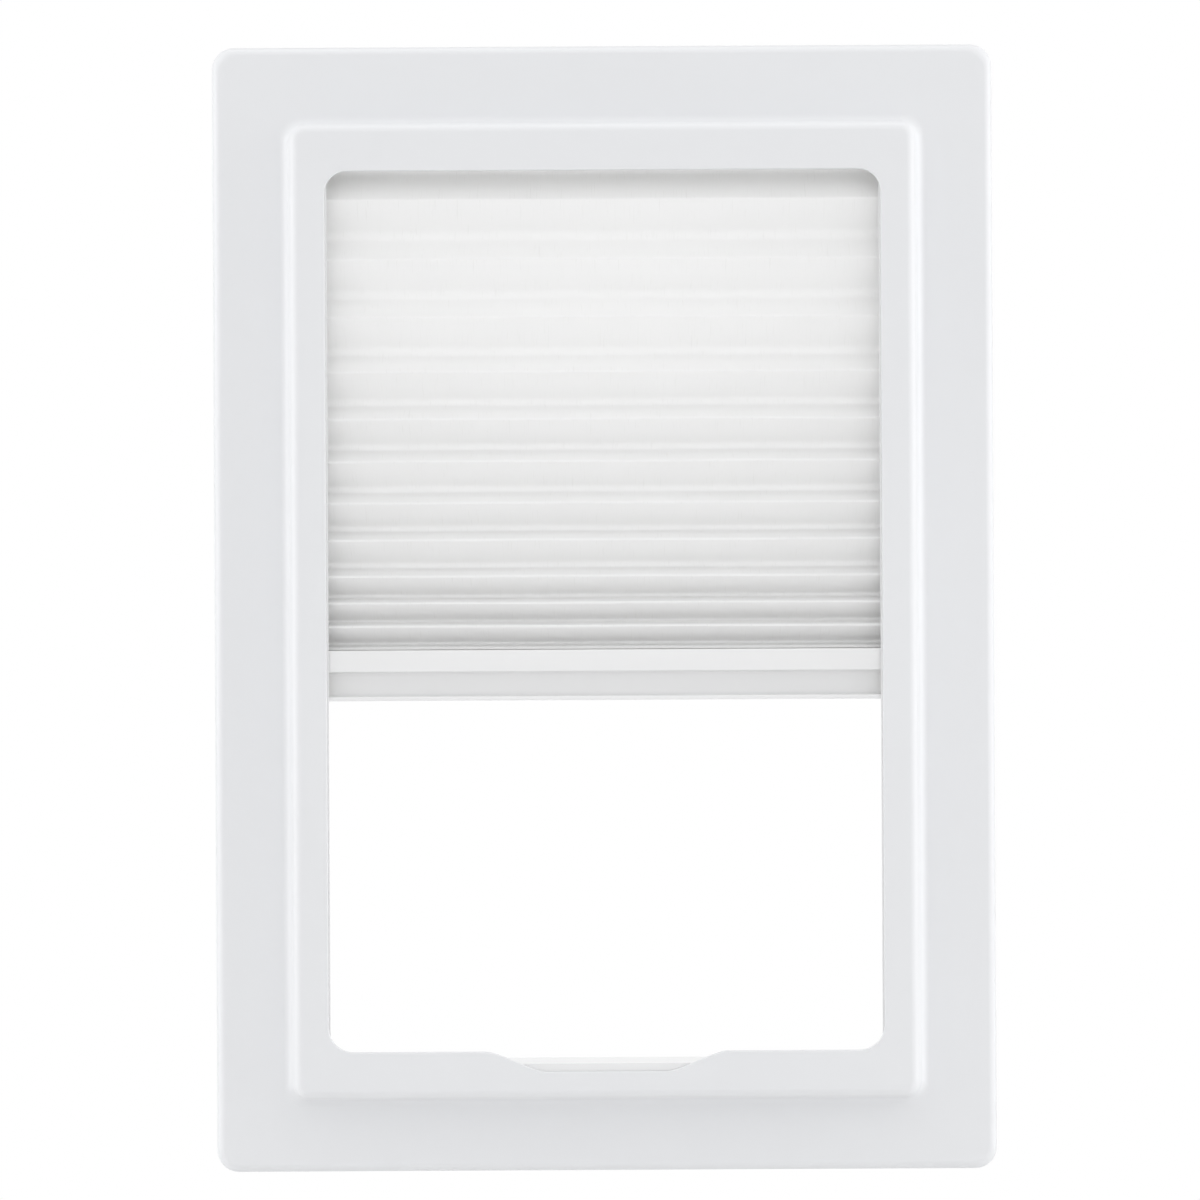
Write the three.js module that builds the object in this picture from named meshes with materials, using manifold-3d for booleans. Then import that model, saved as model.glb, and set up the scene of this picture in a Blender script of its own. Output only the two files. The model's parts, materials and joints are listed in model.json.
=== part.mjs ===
// Pleated blind for a roof skylight: a moulded ceiling frame with a pleated cloth shade behind its
// opening. Millimetres, +Z up along the shade's travel, the room is towards -Y, and the ceiling plane is
// y = 0. The origin is the centre of the window opening, in the ceiling plane.

import * as THREE from 'three';
import { mergeVertices } from 'three/addons/utils/BufferGeometryUtils.js';
import Module from 'manifold-3d';

const wasm = await Module();
wasm.setup();

// Window opening in the fascia
const openingWidth = 352;
const openingHeight = 558;
const openingTopRadius = 14;
const openingBottomRadius = 16;
const openingEdgeRadius = 0.8;

// Finger notch in the lower edge of the opening
const notchWidth = 153;
const notchFlatWidth = 76;
const notchDepth = 12.8;
const notchBendShare = 0.22;

// Fascia moulding: raised bezel round the opening, then the ceiling flange
const fasciaWall = 3;
const bezelEdgeRadius = 6.8;
const bezelFootRadius = 4.5;
const bezelCornerRadius = 10;
const bezelDraft = THREE.MathUtils.degToRad(5);
const bezelRoomSide = 4.5;
const bezelRoomEnds = 4.4;
const flangeBorderSide = 51.5;
const flangeBorderTop = 52.9;
const flangeBorderBottom = 50;
const flangeCornerRadius = 14;
const flangeDepth = 10;
const flangeLipRadius = 7;
const ribThickness = 1.8;
const ribPitch = 92;
const ribCeilingGap = 1.5;

// Screw bosses behind the bezel and the screws that hold the cassette on them
const bossRadius = 3;
const bossLength = 10;
const screwRadius = 1.5;
const screwHeadRadius = 2.9;
const screwHeadHeight = 1.8;
const screwTipGap = 2;
const bossInset = 4.6;

// Cassette frame behind the bezel
const ceilingGap = 4.7;
const channelWall = 1.5;
const channelWidth = 16.5;
const channelPeek = 1;
const channelBackRelief = 3;
const endRailHeight = 15.2;
const endRailReveal = 8;
const headLipWidth = 6;
const cornerTongueLength = 12;
const cornerTongueThickness = 2.4;

// Pleated cloth
const pleatPanel = 25;
const pleatClearance = 1;
const clothThickness = 0.6;
const clothCordGap = 4;
const clothFullness = 1.12;
const clothDropShare = 0.5751;
const firstRidgeShare = 0.078;
const lastRidgeRise = 2.8;
const pleatEvenShare = 0.42;
const pleatLean = 3.3;
const pleatLeanShare = 0.3;
const stripThickness = 1.6;
const stripMargin = 1.2;

// Pull rail with its grip recess
const pullRailHeight = 32.2;
const pullRailBandHeight = 13.9;
const pullRailLipHeight = 2.9;
const pullRailGripDepth = 9;
const pullRailWall = 1.4;
const pullRailEntry = 1.5;
const pullRailFrontGap = 1;
const pullRailBackGap = 2;
const pullRailEdgeRadius = 1.2;
const pullRailGripRadius = 3;
const footSlotWidth = 14;
const footChamberHeight = 2.4;
const footChamberWidth = 20;

// Glides in the rail's ends
const glideClearance = 0.5;
const glideTongueLength = 16;
const glideScrewRadius = 1.1;
const glideScrewHeadRadius = 2.2;
const glideScrewHeadHeight = 1.2;
const glideScrewLength = 8;

// Guide cords, their stops, springs and pins
const cordRadius = 0.7;
const cordInset = 8;
const cordSpacing = 5;
const cordBendRadius = 4;
const cordKnotRadius = 1.1;
const cordStopRadius = 1.9;
const cordStopHeight = 3;
const cordStopCover = 5;
const sillCordDrop = 8;
const springWireRadius = 0.35;
const springCoilRadius = 1.9;
const springCoilPitch = 1.7;
const springTurns = 14;
const springLead = 5;
const springStart = 30;
const springPinRadius = 1.2;

// Fits and cutting
const fit = 0.3;
const cutOverrun = 1;
const weld = 0.5;

// Facets
const arcSteps = 6;
const cornerSteps = 6;
const boreSides = 16;
const cordSides = 8;
const springSides = 5;
const stepsPerTurn = 8;

// Places that follow from the sizes above; y grows from the room towards the ceiling
const cassetteDepth = pleatPanel + 2 * (channelWall + pleatClearance);
const cassetteBack = -ceilingGap;
const cassetteFront = cassetteBack - cassetteDepth;
const cassetteMiddle = (cassetteFront + cassetteBack) / 2;
const bezelBack = cassetteFront - fit;
const bezelFront = bezelBack - fasciaWall;
const flangeFront = -flangeDepth;

const channelMouth = openingWidth / 2 - channelPeek;
const channelOuter = channelMouth + channelWidth;
const channelWeb = channelOuter - channelWall;
const headBottom = openingHeight / 2 + endRailReveal;
const headTop = headBottom + endRailHeight;
const sillTop = -headBottom;
const sillBottom = -headTop;

const opening = {
  halfWidth: openingWidth / 2,
  top: openingHeight / 2,
  bottom: -openingHeight / 2,
  topRadius: openingTopRadius,
  bottomRadius: openingBottomRadius,
};
const bezel = {
  halfWidth: channelOuter + bezelRoomSide + fasciaWall,
  top: headTop + bezelRoomEnds + fasciaWall,
  bottom: sillBottom - bezelRoomEnds - fasciaWall,
  topRadius: bezelCornerRadius,
  bottomRadius: bezelCornerRadius,
};
const flange = {
  halfWidth: bezel.halfWidth + flangeBorderSide,
  top: bezel.top + flangeBorderTop,
  bottom: bezel.bottom - flangeBorderBottom,
  topRadius: flangeCornerRadius,
  bottomRadius: flangeCornerRadius,
};

const openDrop = headBottom - sillTop - pullRailHeight;
const railTop = headBottom - openDrop * clothDropShare;
const railBottom = railTop - pullRailHeight;
const railFront = cassetteFront + channelWall + pullRailFrontGap;
const railBack = cassetteBack - channelWall - pullRailBackGap;
const railMiddle = (railFront + railBack) / 2;
const railEnd = channelMouth + pullRailEntry;
const gripBack = railFront + pullRailGripDepth;
const gripTop = railTop - pullRailBandHeight;
const gripBottom = railBottom + pullRailLipHeight;
const footStripFloor = railTop - pullRailWall - footChamberHeight;

const cordX = channelWeb - cordInset;
const gripChamberMiddle = (gripBack + railBack) / 2;
const cordFront = gripChamberMiddle - cordSpacing / 2;
const cordBack = gripChamberMiddle + cordSpacing / 2;
const crossCordZ = (gripTop + gripBottom) / 2;
const sillCordZ = sillTop - sillCordDrop;
const cordBoreRadius = cordRadius + fit;
const bossX = channelOuter - bossInset;
const bossZ = headTop - bossInset;

// Materials
const material = (color, roughness, metalness = 0) =>
  new THREE.MeshStandardMaterial({ color, roughness, metalness });
const whiteMoulding = material(0xe4e5e7, 0.42);
const whiteEnamel = material(0xe9eaec, 0.35);
const whiteNylon = material(0xe2e2de, 0.5);
const whiteCloth = material(0xececea, 0.9);
const whiteCord = material(0xdedcd6, 0.8);
const zincSteel = material(0xb9bbbd, 0.35, 1);
const springSteel = material(0xa7a9ab, 0.3, 1);

const blind = new THREE.Group();

function addPiece(name, geometry, pieceMaterial) {
  const mesh = new THREE.Mesh(geometry, pieceMaterial);
  mesh.name = name;
  blind.add(mesh);
}

// Faces of a mirrored or swept shape may point inwards, which the sign of its volume shows
function facingOut(geometry) {
  const bare = new THREE.BufferGeometry();
  bare.setAttribute('position', geometry.getAttribute('position'));
  bare.setIndex(geometry.getIndex());
  const shape = mergeVertices(bare);
  const place = shape.getAttribute('position');
  const index = shape.getIndex().array.slice();
  const [a, b, c] = [new THREE.Vector3(), new THREE.Vector3(), new THREE.Vector3()];
  let volume = 0;
  for (let i = 0; i < index.length; i += 3) {
    a.fromBufferAttribute(place, index[i]);
    b.fromBufferAttribute(place, index[i + 1]);
    c.fromBufferAttribute(place, index[i + 2]);
    volume += a.dot(b.cross(c));
  }
  if (volume < 0) {
    index.reverse();
  }
  shape.setIndex([...index]);
  return shape;
}

function solidOf(geometry) {
  const shape = facingOut(geometry);
  const mesh = new wasm.Mesh({
    numProp: 3,
    vertProperties: new Float32Array(shape.getAttribute('position').array),
    triVerts: new Uint32Array(shape.getIndex().array),
  });
  return new wasm.Manifold(mesh);
}

function geometryOf(solid) {
  const mesh = solid.getMesh();
  const geometry = new THREE.BufferGeometry();
  geometry.setAttribute('position', new THREE.BufferAttribute(mesh.vertProperties, 3));
  geometry.setIndex([...mesh.triVerts]);
  return geometry;
}

// A section drawn in the two axes across the run, carried along x, y or z from start to end
const crossAxes = {
  x: [new THREE.Vector3(0, 1, 0), new THREE.Vector3(0, 0, 1), new THREE.Vector3(1, 0, 0)],
  y: [new THREE.Vector3(1, 0, 0), new THREE.Vector3(0, 0, 1), new THREE.Vector3(0, 1, 0)],
  z: [new THREE.Vector3(1, 0, 0), new THREE.Vector3(0, 1, 0), new THREE.Vector3(0, 0, 1)],
};

function runAlong(axis, shape, start, end) {
  const [first, second, run] = crossAxes[axis];
  const geometry = new THREE.ExtrudeGeometry(shape, {
    depth: end - start,
    bevelEnabled: false,
    curveSegments: arcSteps,
  });
  geometry.translate(0, 0, start);
  geometry.applyMatrix4(new THREE.Matrix4().makeBasis(first, second, run));
  return facingOut(geometry);
}

function outline(points) {
  return new THREE.Shape(points.map(([a, b]) => new THREE.Vector2(a, b)));
}

function boxBetween(low, high) {
  const size = high.map((value, i) => value - low[i]);
  const middle = high.map((value, i) => (value + low[i]) / 2);
  const geometry = new THREE.BoxGeometry(...size);
  geometry.translate(...middle);
  return geometry;
}

function pinAlongY(x, z, radius, start, end) {
  const geometry = new THREE.CylinderGeometry(radius, radius, end - start, boreSides);
  geometry.translate(x, (start + end) / 2, z);
  return geometry;
}

// An arc's points round a centre, both ends included
function arc(centre, radius, from, to, steps = arcSteps) {
  const points = [];
  for (let i = 0; i <= steps; i += 1) {
    const angle = from + ((to - from) * i) / steps;
    points.push([centre[0] + radius * Math.cos(angle), centre[1] + radius * Math.sin(angle)]);
  }
  return points;
}

// A route whose own points are the steps of what is swept along it
class PointRoute extends THREE.Curve {
  constructor(points) {
    super();
    this.points = points.map((p) => new THREE.Vector3(...p));
  }

  getPoint(t, target = new THREE.Vector3()) {
    const spans = this.points.length - 1;
    const place = THREE.MathUtils.clamp(t, 0, 1) * spans;
    const index = Math.min(Math.floor(place), spans - 1);
    return target.lerpVectors(this.points[index], this.points[index + 1], place - index);
  }

  getUtoTmapping(u) {
    return u;
  }
}

function tubeAlong(points, radius, sides) {
  const section = arc([0, 0], radius, 0, 2 * Math.PI, sides).slice(1);
  const geometry = new THREE.ExtrudeGeometry(outline(section), {
    steps: points.length - 1,
    bevelEnabled: false,
    extrudePath: new PointRoute(points),
  });
  return facingOut(geometry);
}

// Fascia
// Every ring round the opening is a rectangle with round corners, each with the same number of points
function ringPoints({ halfWidth, top, bottom, topRadius, bottomRadius }) {
  const corners = [
    [halfWidth, top, topRadius, 0],
    [-halfWidth, top, topRadius, 1],
    [-halfWidth, bottom, bottomRadius, 2],
    [halfWidth, bottom, bottomRadius, 3],
  ];
  return corners.flatMap(([x, z, radius, quarter]) => {
    const centre = [x - Math.sign(x) * radius, z - Math.sign(z) * radius];
    const from = (quarter * Math.PI) / 2;
    return arc(centre, radius, from, from + Math.PI / 2, cornerSteps);
  });
}

function grown(ring, distance) {
  return {
    halfWidth: ring.halfWidth + distance,
    top: ring.top + distance,
    bottom: ring.bottom - distance,
    topRadius: ring.topRadius + distance,
    bottomRadius: ring.bottomRadius + distance,
  };
}

// Rings at their depths, front face outwards and then back along the rear face, skinned to a closed hoop
function hoop(stations) {
  const rings = stations.map(({ ring, depth }) =>
    ringPoints(ring).map(([x, z]) => [x, depth, z]),
  );
  const around = rings[0].length;
  const index = [];
  rings.forEach((ring, i) => {
    const next = (i + 1) % rings.length;
    for (let j = 0; j < around; j += 1) {
      const k = (j + 1) % around;
      const [a, b] = [i * around + j, i * around + k];
      const [c, d] = [next * around + k, next * around + j];
      index.push(a, b, c, a, c, d);
    }
  });
  const geometry = new THREE.BufferGeometry();
  geometry.setAttribute('position', new THREE.Float32BufferAttribute(rings.flat(2), 3));
  geometry.setIndex(index);
  return geometry;
}

// A rounding between the front face and the wall, or the wall and the flange: distance out and depth
function rounding(ring, centreOut, centreDepth, radius, from, to) {
  return arc([centreOut, centreDepth], radius, from, to).map(([out, depth]) => ({
    ring: grown(ring, out),
    depth,
  }));
}

function fasciaShell() {
  const square = Math.PI / 2;
  const edgeDepth = bezelFront + bezelEdgeRadius;
  const footDepth = flangeFront - bezelFootRadius;
  const edgeReach = bezelEdgeRadius * Math.cos(bezelDraft);
  const footReach = bezelFootRadius * Math.cos(bezelDraft);
  const wallTop = edgeDepth + bezelEdgeRadius * Math.sin(-bezelDraft);
  const wallFoot = footDepth + bezelFootRadius * Math.sin(bezelDraft);
  const wallRun = (wallFoot - wallTop) * Math.tan(bezelDraft);
  const footCentre = -bezelEdgeRadius + edgeReach + wallRun + footReach;
  const lipDepth = flangeFront + flangeLipRadius;
  const lipInner = flangeLipRadius - fasciaWall;
  const footOuter = bezelFootRadius + fasciaWall;
  const edgeInner = bezelEdgeRadius - fasciaWall;
  return hoop([
    { ring: opening, depth: bezelFront + openingEdgeRadius },
    { ring: grown(opening, openingEdgeRadius), depth: bezelFront },
    ...rounding(bezel, -bezelEdgeRadius, edgeDepth, bezelEdgeRadius, -square, -bezelDraft),
    ...rounding(bezel, footCentre, footDepth, bezelFootRadius, 2 * square - bezelDraft, square),
    ...rounding(flange, -flangeLipRadius, lipDepth, flangeLipRadius, -square, 0),
    { ring: flange, depth: 0 },
    { ring: grown(flange, -fasciaWall), depth: 0 },
    ...rounding(flange, -flangeLipRadius, lipDepth, lipInner, 0, -square),
    ...rounding(bezel, footCentre, footDepth, footOuter, square, 2 * square - bezelDraft),
    ...rounding(bezel, -bezelEdgeRadius, edgeDepth, edgeInner, -bezelDraft, -square),
    { ring: opening, depth: bezelBack },
  ]);
}

// The notch's sides are smooth S curves from the opening's edge down to its flat floor
function notchShape() {
  const edge = opening.bottom;
  const floor = edge - notchDepth;
  const [wide, narrow] = [notchWidth / 2, notchFlatWidth / 2];
  const bendReach = (wide - narrow) * notchBendShare;
  const [high, low] = [wide - bendReach, narrow + bendReach];
  const shape = new THREE.Shape();
  shape.moveTo(-wide, edge + cutOverrun);
  shape.lineTo(-wide, edge);
  shape.bezierCurveTo(-high, edge, -low, floor, -narrow, floor);
  shape.lineTo(narrow, floor);
  shape.bezierCurveTo(low, floor, high, edge, wide, edge);
  shape.lineTo(wide, edge + cutOverrun);
  return shape;
}

// Bosses stand in the four corners of the cassette and at the middle of its head and sill
const bossPlaces = [
  ['top_left', -bossX, bossZ],
  ['top_right', bossX, bossZ],
  ['bottom_left', -bossX, -bossZ],
  ['bottom_right', bossX, -bossZ],
  ['head', 0, bossZ],
  ['sill', 0, -bossZ],
];

// Ribs stiffen the flange from behind, evenly spaced along each of its four sides
function flangeRibs() {
  const ribs = [];
  const [front, back] = [flangeFront + fasciaWall - weld, -ribCeilingGap];
  const spread = (low, high) => {
    const count = Math.max(Math.floor((high - low) / ribPitch), 1);
    return Array.from({ length: count }, (_, i) => low + ((high - low) * (i + 1 / 2)) / count);
  };
  const footOut = bezelFootRadius + fasciaWall;
  for (const z of spread(bezel.bottom, bezel.top)) {
    for (const side of [-1, 1]) {
      const inner = side * (bezel.halfWidth + footOut);
      const outer = side * (flange.halfWidth - fasciaWall + weld);
      const low = [Math.min(inner, outer), front, z - ribThickness / 2];
      ribs.push(boxBetween(low, [Math.max(inner, outer), back, z + ribThickness / 2]));
    }
  }
  for (const x of spread(-bezel.halfWidth, bezel.halfWidth)) {
    const [left, right] = [x - ribThickness / 2, x + ribThickness / 2];
    const top = flange.top - fasciaWall + weld;
    const bottom = flange.bottom + fasciaWall - weld;
    ribs.push(boxBetween([left, front, bezel.top + footOut], [right, back, top]));
    ribs.push(boxBetween([left, front, bottom], [right, back, bezel.bottom - footOut]));
  }
  return ribs;
}

function fascia() {
  let solid = solidOf(fasciaShell());
  const notch = runAlong('y', notchShape(), bezelFront - cutOverrun, bezelBack + cutOverrun);
  solid = solid.subtract(solidOf(notch));
  for (const rib of flangeRibs()) {
    solid = solid.add(solidOf(rib));
  }
  const tip = bezelBack + bossLength;
  for (const [, x, z] of bossPlaces) {
    solid = solid.add(solidOf(pinAlongY(x, z, bossRadius, bezelBack - weld, tip)));
    solid = solid.subtract(
      solidOf(pinAlongY(x, z, screwRadius + fit, bezelBack + weld, tip + cutOverrun)),
    );
  }
  return geometryOf(solid);
}

addPiece('fascia', fascia(), whiteMoulding);

// Cassette frame
// A boss enters the wall or block in front, and its screw comes through the wall behind
function bossClearance(solid, x, z) {
  const seat = bezelBack + bossLength + fit;
  const wide = pinAlongY(x, z, bossRadius + fit, cassetteFront - cutOverrun, seat);
  const narrow = pinAlongY(x, z, screwRadius + fit, seat - weld, cassetteBack + cutOverrun);
  return solid.subtract(solidOf(wide)).subtract(solidOf(narrow));
}

// Side channels are U sections open towards the window, with the lip on the roof side set back
function channelSection(side) {
  const [inside, outside, web] = [side * channelMouth, side * channelOuter, side * channelWeb];
  const insideBack = side * (channelMouth + channelBackRelief);
  const [front, back] = [cassetteFront, cassetteBack];
  return outline([
    [inside, front],
    [outside, front],
    [outside, back],
    [insideBack, back],
    [insideBack, back - channelWall],
    [web, back - channelWall],
    [web, front + channelWall],
    [inside, front + channelWall],
  ]);
}

const sides = [
  ['left', -1],
  ['right', 1],
];
for (const [label, side] of sides) {
  const channel = runAlong('z', channelSection(side), sillTop + fit, headBottom - fit);
  addPiece(`side_channel_${label}`, channel, whiteEnamel);
}

// The head rail is a box with a slot below, whose lips carry the cloth's head strip
function headSection() {
  const [front, back, wall] = [cassetteFront, cassetteBack, channelWall];
  return outline([
    [front, headBottom],
    [front + headLipWidth, headBottom],
    [front + headLipWidth, headBottom + wall],
    [front + wall, headBottom + wall],
    [front + wall, headTop - wall],
    [back - wall, headTop - wall],
    [back - wall, headBottom + wall],
    [back - headLipWidth, headBottom + wall],
    [back - headLipWidth, headBottom],
    [back, headBottom],
    [back, headTop],
    [front, headTop],
  ]);
}

// The sill rail is a U section open below, with the springs inside and its flat top as the ledge
function sillSection() {
  const [front, back, wall] = [cassetteFront, cassetteBack, channelWall];
  return outline([
    [front, sillTop],
    [front, sillBottom],
    [front + wall, sillBottom],
    [front + wall, sillTop - wall],
    [back - wall, sillTop - wall],
    [back - wall, sillBottom],
    [back, sillBottom],
    [back, sillTop],
  ]);
}

const railRun = channelMouth - fit;
const springEnd = channelMouth - springStart - springTurns * springCoilPitch;
const springPinX = springEnd - springLead;

const headRail = solidOf(runAlong('x', headSection(), -railRun, railRun));
addPiece('head_rail', geometryOf(bossClearance(headRail, 0, bossZ)), whiteEnamel);

let sillRail = bossClearance(solidOf(runAlong('x', sillSection(), -railRun, railRun)), 0, -bossZ);
for (const [, side] of sides) {
  const hole = pinAlongY(
    side * springPinX,
    sillCordZ,
    springPinRadius + fit,
    cassetteFront - cutOverrun,
    cassetteBack + cutOverrun,
  );
  sillRail = sillRail.subtract(solidOf(hole));
}
addPiece('sill_rail', geometryOf(sillRail), whiteEnamel);

// Cord routes: a quarter bend of the cord's bend radius, in the plane of the cassette
function bend(side, y, cornerZ, down) {
  const centreZ = cornerZ - down * cordBendRadius;
  const points = arc([0, 0], cordBendRadius, 0, Math.PI / 2, arcSteps);
  return points.map(([out, along]) => [
    side * (cordX - cordBendRadius + out),
    y,
    centreZ + down * along,
  ]);
}

// From the side channel down through the bottom corner block and in to the spring
function sillRoute(side, y, top, innerX) {
  return [
    [side * cordX, y, top],
    ...bend(side, y, sillCordZ, -1),
    [side * innerX, y, sillCordZ],
  ];
}

// From one glide's top across the rail to the other glide's bottom
function crossRoute(side, y, top, bottom) {
  return [
    [side * cordX, y, top],
    ...bend(side, y, crossCordZ, -1),
    ...bend(-side, y, crossCordZ, 1).reverse(),
    [-side * cordX, y, bottom],
  ];
}

// Each corner block joins a channel and an end rail by a tongue in each
function cornerBlock(side, level) {
  const [near, far] = [level * headBottom, level * headTop];
  const [front, back] = [cassetteFront + channelWall + fit, cassetteBack - channelWall - fit];
  const ordered = (a, b) => [Math.min(a, b), Math.max(a, b)];
  const block = (xs, ys, zs) => {
    const [x, z] = [ordered(...xs), ordered(...zs)];
    return solidOf(boxBetween([x[0], ys[0], z[0]], [x[1], ys[1], z[1]]));
  };
  const [inner, outer] = [side * channelMouth, side * channelOuter];
  const webFace = channelWeb - fit;
  const uprightTongue = block(
    [side * (webFace - cornerTongueThickness), side * webFace],
    [front, back],
    [level * (headBottom - cornerTongueLength), level * (headBottom + weld)],
  );
  const shelf = level > 0 ? headTop - channelWall - fit : sillTop - channelWall - fit;
  const levelTongue = block(
    [side * (channelMouth - cornerTongueLength), side * (channelMouth + weld)],
    [front, back],
    [shelf - cornerTongueThickness, shelf],
  );
  let solid = block([inner, outer], [cassetteFront, cassetteBack], [near, far]);
  solid = solid.add(uprightTongue).add(levelTongue);
  return bossClearance(solid, side * bossX, level * bossZ);
}

// The front cord starts in the left top block and ends in the right bottom one, the back cord mirrored
const upperCordDepth = { left: cordFront, right: cordBack };
const lowerCordDepth = { left: cordBack, right: cordFront };
const stopSeat = headBottom + cordStopCover;

for (const [label, side] of sides) {
  const y = upperCordDepth[label];
  const bore = [
    [side * cordX, y, headBottom - cutOverrun],
    [side * cordX, y, stopSeat + weld],
  ];
  const pocket = [
    [side * cordX, y, stopSeat],
    [side * cordX, y, headTop + cutOverrun],
  ];
  const solid = cornerBlock(side, 1)
    .subtract(solidOf(tubeAlong(bore, cordBoreRadius, boreSides)))
    .subtract(solidOf(tubeAlong(pocket, cordStopRadius + fit, boreSides)));
  addPiece(`corner_block_top_${label}`, geometryOf(solid), whiteNylon);
}

for (const [label, side] of sides) {
  const y = lowerCordDepth[label];
  const route = sillRoute(side, y, sillTop + cutOverrun, channelMouth - cutOverrun);
  const solid = cornerBlock(side, -1).subtract(
    solidOf(tubeAlong(route, cordBoreRadius, boreSides)),
  );
  addPiece(`corner_block_bottom_${label}`, geometryOf(solid), whiteNylon);
}

// Pan head screws from the ceiling side into the bosses: half the side view, turned round the screw
function panHeadScrew(x, z, seat, radius, headRadius, headHeight, length) {
  const crown = headRadius / 2;
  const profile = [
    [0, 0],
    [radius, 0],
    [radius, length],
    [headRadius, length],
    [headRadius, length + headHeight / 2],
    [crown, length + headHeight],
    [0, length + headHeight],
  ].map(([r, h]) => new THREE.Vector2(r, h - length));
  const geometry = new THREE.LatheGeometry(profile, boreSides);
  geometry.translate(x, seat, z);
  return facingOut(geometry);
}

const cassetteScrewLength = cassetteBack + fit - (bezelBack + weld + screwTipGap);
for (const [label, x, z] of bossPlaces) {
  const screw = panHeadScrew(
    x,
    z,
    cassetteBack + fit,
    screwRadius,
    screwHeadRadius,
    screwHeadHeight,
    cassetteScrewLength,
  );
  addPiece(`cassette_screw_${label}`, screw, zincSteel);
}

// Cloth
// Front ridges lie closer together the lower they are, because the cloth's weight opens the upper pleats
const pleatCount = Math.round((openDrop * clothFullness) / (2 * pleatPanel));
const clothHalfWidth = cordX - clothCordGap;
const headStripBottom = headBottom + channelWall + fit;
const footStripTop = footStripFloor + fit + stripThickness;

function ridgeHeights() {
  const first = headBottom - (headBottom - railTop) * firstRidgeShare;
  const last = railTop + lastRidgeRise;
  return Array.from({ length: pleatCount }, (_, i) => {
    const left = 1 - i / (pleatCount - 1);
    return last + (first - last) * left * (pleatEvenShare + (1 - pleatEvenShare) * left);
  });
}

// How far a pleat of a given pitch reaches from front to back
function pleatReach(pitch) {
  const half = Math.min(pitch / 2, pleatPanel);
  return Math.sqrt(pleatPanel ** 2 - half ** 2);
}

function clothLine() {
  const ridges = ridgeHeights();
  const firstPitch = ridges[0] - ridges[1];
  const line = [[cassetteMiddle, headStripBottom - fit]];
  line.push([cassetteMiddle + pleatReach(firstPitch) / 2, ridges[0] + firstPitch / 2]);
  ridges.forEach((z, i) => {
    const pitch = i + 1 < ridges.length ? z - ridges[i + 1] : ridges[i - 1] - z;
    const reach = pleatReach(pitch) / 2;
    line.push([cassetteMiddle - reach, z]);
    if (i + 1 < ridges.length) {
      const lean = Math.min((pleatLean * i) / (ridges.length - 1), pitch * pleatLeanShare);
      line.push([cassetteMiddle + reach, z - pitch / 2 - lean]);
    }
  });
  line.push([railMiddle, footStripTop + fit]);
  return line;
}

// The cloth's section: its line moved half a thickness to each side, with the fold points held short
function thickened(line, thickness) {
  const at = line.map(([y, z]) => new THREE.Vector2(y, z));
  const half = thickness / 2;
  const across = at.map((point, i) => {
    const before = at[Math.max(i - 1, 0)];
    const after = at[Math.min(i + 1, at.length - 1)];
    const into = point.clone().sub(before).normalize();
    const out = after.clone().sub(point).normalize();
    const along = into.add(out).normalize();
    const normal = new THREE.Vector2(-along.y, along.x);
    const panel = i + 1 < at.length ? after.clone().sub(point) : point.clone().sub(before);
    const slope = Math.abs(normal.dot(new THREE.Vector2(-panel.y, panel.x).normalize()));
    return normal.multiplyScalar(Math.min(half / slope, thickness));
  });
  const one = at.map((point, i) => point.clone().add(across[i]));
  const other = at.map((point, i) => point.clone().sub(across[i]));
  return new THREE.Shape([...one, ...other.reverse()]);
}

// The cloth's corners are notched where it narrows to enter the head rail and the pull rail
function pleatedShade() {
  const section = thickened(clothLine(), clothThickness);
  let solid = solidOf(runAlong('x', section, -clothHalfWidth, clothHalfWidth));
  const notches = [
    [railRun, headBottom - fit, headTop],
    [railEnd, railBottom, railTop],
  ];
  for (const [from, low, high] of notches) {
    const outside = clothHalfWidth + cutOverrun;
    for (const [left, right] of [
      [-outside, -from],
      [from, outside],
    ]) {
      const box = boxBetween([left, cassetteFront, low], [right, cassetteBack, high]);
      solid = solid.subtract(solidOf(box));
    }
  }
  return geometryOf(solid);
}

addPiece('pleated_shade', pleatedShade(), whiteCloth);

const headStrip = boxBetween(
  [-railRun, cassetteFront + channelWall + stripMargin, headStripBottom],
  [railRun, cassetteBack - channelWall - stripMargin, headStripBottom + stripThickness],
);
addPiece('head_strip', headStrip, whiteNylon);

// Pull rail
// Corners in order round the section, each with the radius it is rounded by
function roundedOutline(corners) {
  const shape = new THREE.Shape();
  corners.forEach(([y, z, radius], i) => {
    const corner = new THREE.Vector2(y, z);
    const [by, bz] = corners[(i + corners.length - 1) % corners.length];
    const [ay, az] = corners[(i + 1) % corners.length];
    const back = new THREE.Vector2(by, bz).sub(corner).setLength(radius).add(corner);
    const ahead = new THREE.Vector2(ay, az).sub(corner).setLength(radius).add(corner);
    if (i === 0) {
      shape.moveTo(back.x, back.y);
    } else {
      shape.lineTo(back.x, back.y);
    }
    if (radius > 0) {
      shape.quadraticCurveTo(corner.x, corner.y, ahead.x, ahead.y);
    }
  });
  return shape;
}

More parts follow.
